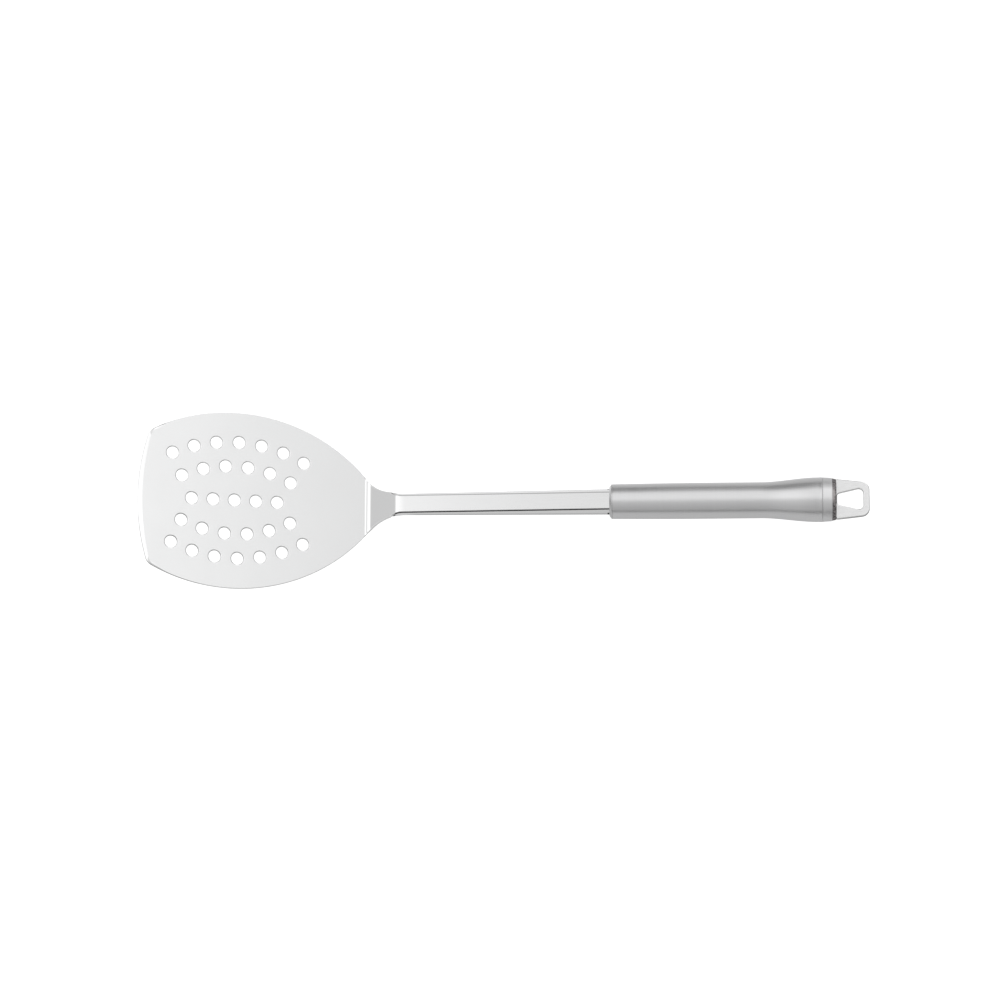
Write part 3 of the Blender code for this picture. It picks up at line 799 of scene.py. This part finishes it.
def make_eye(material):
    root = EYE_START - EYE_ROOT
    outline = rounded_outline([
        (root, -EYE_BASE_HALF + EYE_ROOT, EYE_SHOULDER),
        (EYE_START, -EYE_BASE_HALF, EYE_SHOULDER),
        (EYE_TIP, -EYE_TIP_HALF, EYE_CORNER),
        (EYE_TIP, EYE_TIP_HALF, EYE_CORNER),
        (EYE_START, EYE_BASE_HALF, EYE_SHOULDER),
        (root, EYE_BASE_HALF - EYE_ROOT, EYE_SHOULDER),
    ])
    hole = rounded_outline([
        (EYE_START + EYE_HOLE_INSET, -EYE_HOLE_BASE_HALF, EYE_HOLE_CORNER),
        (EYE_TIP - EYE_BAR, -EYE_HOLE_TIP_HALF, EYE_HOLE_TIP_CORNER),
        (EYE_TIP - EYE_BAR, EYE_HOLE_TIP_HALF, EYE_HOLE_TIP_CORNER),
        (EYE_START + EYE_HOLE_INSET, EYE_HOLE_BASE_HALF, EYE_HOLE_CORNER),
    ])
    shape, _ = plate_shape(eye_rings(outline, 1.0), [eye_rings(hole, -1.0)])
    make_piece("hanging_eye", shape, TOOL, material)


# Materials

class Nodes:
    """Short calls for building a node tree."""

    # The mix node's sockets for colours come after those for numbers and vectors.
    FIRST_COLOUR = 6
    SECOND_COLOUR = 7
    MIXED_COLOUR = 2

    def __init__(self, tree):
        self.tree = tree

    def add(self, kind, **settings):
        node = self.tree.nodes.new(kind)
        for name, value in settings.items():
            setattr(node, name, value)
        return node

    def link(self, source, target):
        self.tree.links.new(source, target)

    def place(self, kind="Object"):
        return self.add("ShaderNodeTexCoord").outputs[kind]

    def axes(self, vector):
        """The three parts of a vector, as sockets."""
        node = self.add("ShaderNodeSeparateXYZ")
        self.link(vector, node.inputs["Vector"])
        return node.outputs["X"], node.outputs["Y"], node.outputs["Z"]

    def noise(self, vector, scale, detail):
        node = self.add("ShaderNodeTexNoise")
        node.inputs["Scale"].default_value = scale
        node.inputs["Detail"].default_value = detail
        self.link(vector, node.inputs["Vector"])
        return node.outputs["Fac"]

    def spread(self, value, low, high, from_low=0.3, from_high=0.7):
        """A value moved to the range from low to high. The default is the range that most noise fills."""
        node = self.add("ShaderNodeMapRange")
        self.link(value, node.inputs["Value"])
        ends = (from_low, from_high, low, high)
        for name, end in zip(("From Min", "From Max", "To Min", "To Max"), ends):
            node.inputs[name].default_value = end
        return node.outputs["Result"]

    def rise(self, value, start, end):
        """Nought up to the start and one from the end on."""
        return self.spread(value, 0.0, 1.0, start, end)

    def fall(self, value, start, end):
        """One up to the start and nought from the end on."""
        return self.spread(value, 1.0, 0.0, start, end)

    def stretched(self, vector, scale):
        node = self.add("ShaderNodeMapping")
        node.inputs["Scale"].default_value = scale
        self.link(vector, node.inputs["Vector"])
        return node.outputs["Vector"]

    def math(self, operation, *values):
        node = self.add("ShaderNodeMath", operation=operation)
        for socket, value in zip(node.inputs, values):
            if isinstance(value, (int, float)):
                socket.default_value = value
            else:
                self.link(value, socket)
        return node.outputs["Value"]

    def from_x_axis(self, across, up):
        """Distance from the X axis."""
        flat = self.add("ShaderNodeCombineXYZ")
        self.link(across, flat.inputs["Y"])
        self.link(up, flat.inputs["Z"])
        length = self.add("ShaderNodeVectorMath", operation="LENGTH")
        self.link(flat.outputs["Vector"], length.inputs[0])
        return length.outputs["Value"]

    def ramp(self, value, stops):
        """A ramp of greys through (place, grey) stops."""
        node = self.add("ShaderNodeValToRGB")
        elements = node.color_ramp.elements
        while len(elements) < len(stops):
            elements.new(0.5)
        for element, (place, grey) in zip(elements, stops):
            element.position = place
            element.color = (grey, grey, grey, 1.0)
        self.link(value, node.inputs["Fac"])
        return node.outputs["Color"]

    def mixed(self, share, first, second):
        """A colour between two, each a colour or a socket."""
        node = self.add("ShaderNodeMix", data_type="RGBA")
        self.link(share, node.inputs["Factor"])
        for number, value in ((self.FIRST_COLOUR, first), (self.SECOND_COLOUR, second)):
            if isinstance(value, tuple):
                node.inputs[number].default_value = (*value, 1.0)
            else:
                self.link(value, node.inputs[number])
        return node.outputs[self.MIXED_COLOUR]


# Finish of all the steel: its ground lines and a slow cloud of wear.
LINE_DETAIL = 4.0
LINE_ROUGHNESS = 0.15
LINE_BUMP = 0.5
CLOUD_SCALE = 45.0
CLOUD_DETAIL = 3.0
CLOUD_SHARE = 0.35
CLOUD_TONE = 0.97
CLOUD_ROUGHNESS = 0.02

# Finish of single pieces. A grain is how dense the lines are along each axis, a depth is in metres.
BLADE_GRAIN = (120.0, 2600.0, 120.0)
STEM_GRAIN = (120.0, 2600.0, 2600.0)
EYE_GRAIN = (400.0, 1500.0, 400.0)
TURNED_GRAIN = (9000.0, 60.0, 60.0)
SHEET_DEPTH = 0.000001
EYE_DEPTH = 0.000002
TURNED_DEPTH = 0.0000004
TURNED_STRETCH = 0.2
QUARTER_TURN = 0.25
# Painted shade on the stem's turned edges.
FLANK_SHADE_TONE = (0.60, 0.60, 0.605)
# Painted shadow: near black, for the shaded gap between the stem and the plug.
STEM_GAP_SHADOW_TONE = (0.02, 0.02, 0.02)
# Dark speckle with a paler part, painted on the cap's chamfer next to the eye.
SPECKLE_DARK = (0.08, 0.072, 0.072)
SPECKLE_LIGHT = (0.46, 0.44, 0.44)
SPECKLE_PALE = (0.56, 0.53, 0.53)
SPECKLE_PALE_SHARE = 0.7
SPECKLE_SCALE = 1100.0
SPECKLE_DETAIL = 3.0
SPECKLE_ROUGHNESS = 0.2


def shaded(colour, factor):
    return tuple(min(channel * factor, 1.0) for channel in colour)


def steel(name, colour, roughness, grain, depth, contrast):
    """Ground steel: fine lines stretched by the grain's scale, on a slow cloud of wear."""
    material = bpy.data.materials.new(name)
    material.use_nodes = True
    nodes = Nodes(material.node_tree)
    shader = material.node_tree.nodes["Principled BSDF"]
    shader.inputs["Metallic"].default_value = 1.0
    place = nodes.place()
    lines = nodes.noise(nodes.stretched(place, grain), 1.0, LINE_DETAIL)
    cloud = nodes.noise(place, CLOUD_SCALE, CLOUD_DETAIL)
    dark = shaded(colour, 1.0 - contrast)
    light = shaded(colour, 1.0 + contrast)
    tone = nodes.mixed(nodes.spread(lines, 0.0, 1.0), dark, light)
    tone = nodes.mixed(nodes.spread(cloud, 0.0, CLOUD_SHARE), tone, shaded(colour, CLOUD_TONE))
    nodes.link(tone, shader.inputs["Base Color"])
    smoothest = roughness * (1.0 - LINE_ROUGHNESS)
    roughest = roughness * (1.0 + LINE_ROUGHNESS)
    rough = nodes.spread(lines, smoothest, roughest)
    rough = nodes.math("ADD", rough, nodes.spread(cloud, -CLOUD_ROUGHNESS, CLOUD_ROUGHNESS))
    nodes.link(rough, shader.inputs["Roughness"])
    bump = nodes.add("ShaderNodeBump")
    bump.inputs["Strength"].default_value = LINE_BUMP
    bump.inputs["Distance"].default_value = depth
    nodes.link(lines, bump.inputs["Height"])
    nodes.link(bump.outputs["Normal"], shader.inputs["Normal"])
    return material, nodes, shader, tone, rough


def turned_steel(name, colour, roughness, contrast):
    """Satin steel with lines ground round the handle's axis, which draw the gloss out along it."""
    finish = steel(name, colour, roughness, TURNED_GRAIN, TURNED_DEPTH, contrast)
    _, nodes, shader, _, _ = finish
    tangent = nodes.add("ShaderNodeTangent", direction_type="RADIAL", axis="X")
    nodes.link(tangent.outputs["Tangent"], shader.inputs["Tangent"])
    shader.inputs["Anisotropic"].default_value = TURNED_STRETCH
    shader.inputs["Anisotropic Rotation"].default_value = QUARTER_TURN
    return finish


def blade_steel():
    return steel(
        "blade_steel", colour=(0.786, 0.788, 0.789), roughness=0.20,
        grain=BLADE_GRAIN, depth=SHEET_DEPTH, contrast=0.010,
    )[0]


def stem_steel():
    material, nodes, shader, tone, _ = steel(
        "stem_steel", colour=(0.800, 0.801, 0.803), roughness=0.10,
        grain=STEM_GRAIN, depth=SHEET_DEPTH, contrast=0.010,
    )
    along, across, up = nodes.axes(nodes.place())
    # Painted shade: the turned edges are darker toward their rims, from just behind the crank on.
    widening = (STEM_BASE_HALF - STEM_FRONT_HALF) / STEM_LENGTH
    aside = nodes.math("ABSOLUTE", across)
    aside = nodes.math("SUBTRACT", aside, nodes.math("MULTIPLY", along, widening))
    by_rim = nodes.rise(aside, *(STEM_BASE_HALF - inward for inward in FLANK_SHADE_INSIDE_RIM))
    by_run = nodes.rise(along, *(behind - STEM_LENGTH for behind in FLANK_SHADE_BEHIND_CRANK))
    tone = nodes.mixed(nodes.math("MULTIPLY", by_rim, by_run), tone, FLANK_SHADE_TONE)
    # Painted shadow: just ahead of the plug and low on the strip it is painted near black, for the shaded
    # gap between stem and plug.
    near = nodes.rise(along, *(-before for before in STEM_GAP_SHADOW_AHEAD_OF_PLUG))
    low = nodes.fall(up, *STEM_GAP_SHADOW_ABOVE_AXIS[::-1])
    tone = nodes.mixed(nodes.math("MULTIPLY", near, low), tone, STEM_GAP_SHADOW_TONE)
    nodes.link(tone, shader.inputs["Base Color"])
    return material


def handle_steel():
    return turned_steel("handle_steel", colour=(0.69, 0.69, 0.695), roughness=0.34, contrast=0.030)[0]


def plug_steel():
    return turned_steel("plug_steel", colour=(0.62, 0.62, 0.625), roughness=0.30, contrast=0.020)[0]


def cap_steel():
    material, nodes, shader, tone, rough = turned_steel(
        "cap_steel", colour=(0.72, 0.72, 0.725), roughness=0.40, contrast=0.030
    )
    place = nodes.place()
    along, across, up = nodes.axes(place)
    band_start = CAP_START + CAP_TAPER
    # The chamfer next to the eye is painted dark, speckled and a little brown, and made rougher.
    behind = nodes.rise(along, *(band_start + past for past in CAP_DARK_PAST_TAPER))
    # On the end face it keeps to the rim and to the plate of the eye.
    out = nodes.from_x_axis(across, up)
    rim = nodes.rise(out, *(CAP_BAND_END_RADIUS - inward for inward in CAP_DARK_INSIDE_RIM))
    beside = [EYE_THICKNESS / 2 + away for away in CAP_DARK_OFF_EYE]
    plate = nodes.fall(nodes.math("ABSOLUTE", up), *beside[::-1])
    darkened = nodes.math("MULTIPLY", behind, nodes.math("MAXIMUM", rim, plate))
    speckle = nodes.noise(place, SPECKLE_SCALE, SPECKLE_DETAIL)
    speckled = nodes.mixed(nodes.spread(speckle, 0.0, 1.0), SPECKLE_DARK, SPECKLE_LIGHT)
    # Halfway across it is paler on the side toward the tube.
    middle = nodes.fall(nodes.math("ABSOLUTE", across), *CAP_PALE_ASIDE[::-1])
    front = [band_start + past for past in CAP_PALE_PAST_TAPER]
    by_front = nodes.spread(along, SPECKLE_PALE_SHARE, 0.0, *front[::-1])
    speckled = nodes.mixed(nodes.math("MULTIPLY", middle, by_front), speckled, SPECKLE_PALE)
    nodes.link(nodes.mixed(darkened, tone, speckled), shader.inputs["Base Color"])
    rougher = nodes.math("ADD", rough, nodes.math("MULTIPLY", darkened, SPECKLE_ROUGHNESS))
    nodes.link(rougher, shader.inputs["Roughness"])
    return material


def eye_steel():
    return steel(
        "eye_steel", colour=(0.776, 0.777, 0.778), roughness=0.22,
        grain=EYE_GRAIN, depth=EYE_DEPTH, contrast=0.015,
    )[0]


# Studio

def camera_share(nodes):
    """One on what the camera sees directly, nought in reflections and in light."""
    return nodes.add("ShaderNodeLightPath").outputs["Is Camera Ray"]


def make_floor():
    """A sheet of white paper, just under the bead of the handle's rim. It glows: plain white to the
    camera, painted light and shade in reflections.
    """
    shape = bmesh.new()
    height = -2 * RIM_BEAD
    corners = ((-1, -1), (1, -1), (1, 1), (-1, 1))
    shape.faces.new([shape.verts.new((x * FLOOR_HALF, y * FLOOR_HALF, height)) for x, y in corners])
    mesh = bpy.data.meshes.new("floor")
    shape.to_mesh(mesh)
    shape.free()
    floor = bpy.data.objects.new("floor", mesh)
    bpy.context.scene.collection.objects.link(floor)
    material = bpy.data.materials.new("white_paper")
    material.use_nodes = True
    nodes = Nodes(material.node_tree)
    shader = material.node_tree.nodes["Principled BSDF"]
    shader.inputs["Roughness"].default_value = 0.9
    shader.inputs["Specular IOR Level"].default_value = 0.0
    place = nodes.place()
    fibre = nodes.noise(place, PAPER_SCALE, PAPER_DETAIL)
    tone = nodes.mixed(nodes.spread(fibre, 0.0, 1.0), PAPER_DARK, PAPER_LIGHT)
    nodes.link(tone, shader.inputs["Base Color"])
    along, across, _ = nodes.axes(place)

    def by_place(axis, stops):
        share = nodes.rise(axis, -FLOOR_LIGHT_REACH, FLOOR_LIGHT_REACH)
        return nodes.ramp(share, [((at / FLOOR_LIGHT_REACH + 1.0) / 2, grey) for at, grey in stops])

    # The paper's glow is painted light that only reflections see: brighter behind the tool than in front,
    # with painted shade past both ends of the tool.
    behind = nodes.rise(across, -FLOOR_LIGHT_BORDER, FLOOR_LIGHT_BORDER)
    lit = nodes.mixed(behind, by_place(along, FLOOR_FRONT), by_place(across, FLOOR_BACK))
    nodes.link(nodes.mixed(camera_share(nodes), lit, SEEN_FLOOR), shader.inputs["Emission Color"])
    shader.inputs["Emission Strength"].default_value = 1.0
    mesh.materials.append(material)


def make_light():
    """Soft studio light: bright overhead and behind, dim toward the front and toward both ends."""
    world = bpy.data.worlds.new("studio")
    bpy.context.scene.world = world
    world.use_nodes = True
    nodes = Nodes(world.node_tree)
    background = world.node_tree.nodes["Background"]
    along, across, up = nodes.axes(nodes.place("Generated"))
    turn = nodes.rise(nodes.math("ARCTAN2", across, up), -math.pi, math.pi)
    length = nodes.rise(along, -1.0, 1.0)

    def glow(by_turn, by_length, strength):
        """Light that is graded both ways. The ramps hold shares of the brightest light that they allow."""
        turn_stops = [((degrees / 180.0 + 1.0) / 2, grey / BRIGHTEST) for degrees, grey in by_turn]
        length_stops = [((place + 1.0) / 2, grey / BRIGHTEST) for place, grey in by_length]
        both = nodes.math("MULTIPLY", nodes.ramp(turn, turn_stops), nodes.ramp(length, length_stops))
        return nodes.math("MULTIPLY", both, BRIGHTEST ** 2 * strength)

    lit = glow(LIGHT_ACROSS, LIGHT_ALONG, 1.0)
    lit = nodes.math("ADD", lit, glow(SIDE_LIGHT_ACROSS, SIDE_LIGHT_ALONG, SIDE_LIGHT))
    nodes.link(nodes.mixed(camera_share(nodes), lit, SEEN_WORLD), background.inputs["Color"])


def make_camera():
    """Camera far over the tool, tipped toward the front and standing a little toward the eye's end."""
    tilt = math.radians(13.0)
    pan = math.radians(2.429)
    roll = math.radians(-0.422)
    distance = 2.0
    target = Vector((-0.00245, 0.001284, 0.010))
    level_up = Vector((0.0, math.cos(tilt), math.sin(tilt)))
    back = Vector((math.sin(pan), -math.sin(tilt) * math.cos(pan), math.cos(tilt) * math.cos(pan)))
    right = level_up.cross(back)
    turned_right = math.cos(roll) * right + math.sin(roll) * level_up
    turned_up = math.cos(roll) * level_up - math.sin(roll) * right
    camera = bpy.data.cameras.new("camera")
    camera.sensor_fit = "HORIZONTAL"
    camera.sensor_width = 36.0
    camera.lens = 144.0
    item = bpy.data.objects.new("camera", camera)
    bpy.context.scene.collection.objects.link(item)
    turn = Matrix((turned_right, turned_up, back)).transposed().to_4x4()
    item.matrix_world = Matrix.Translation(target + distance * back) @ turn
    bpy.context.scene.camera = item


make_blade(blade_steel())
make_stem(stem_steel())
make_front_plug(plug_steel())
make_tube(handle_steel())
make_end_cap(cap_steel())
make_eye(eye_steel())
make_floor()
make_light()
make_camera()
bpy.context.scene.view_settings.view_transform = "Standard"
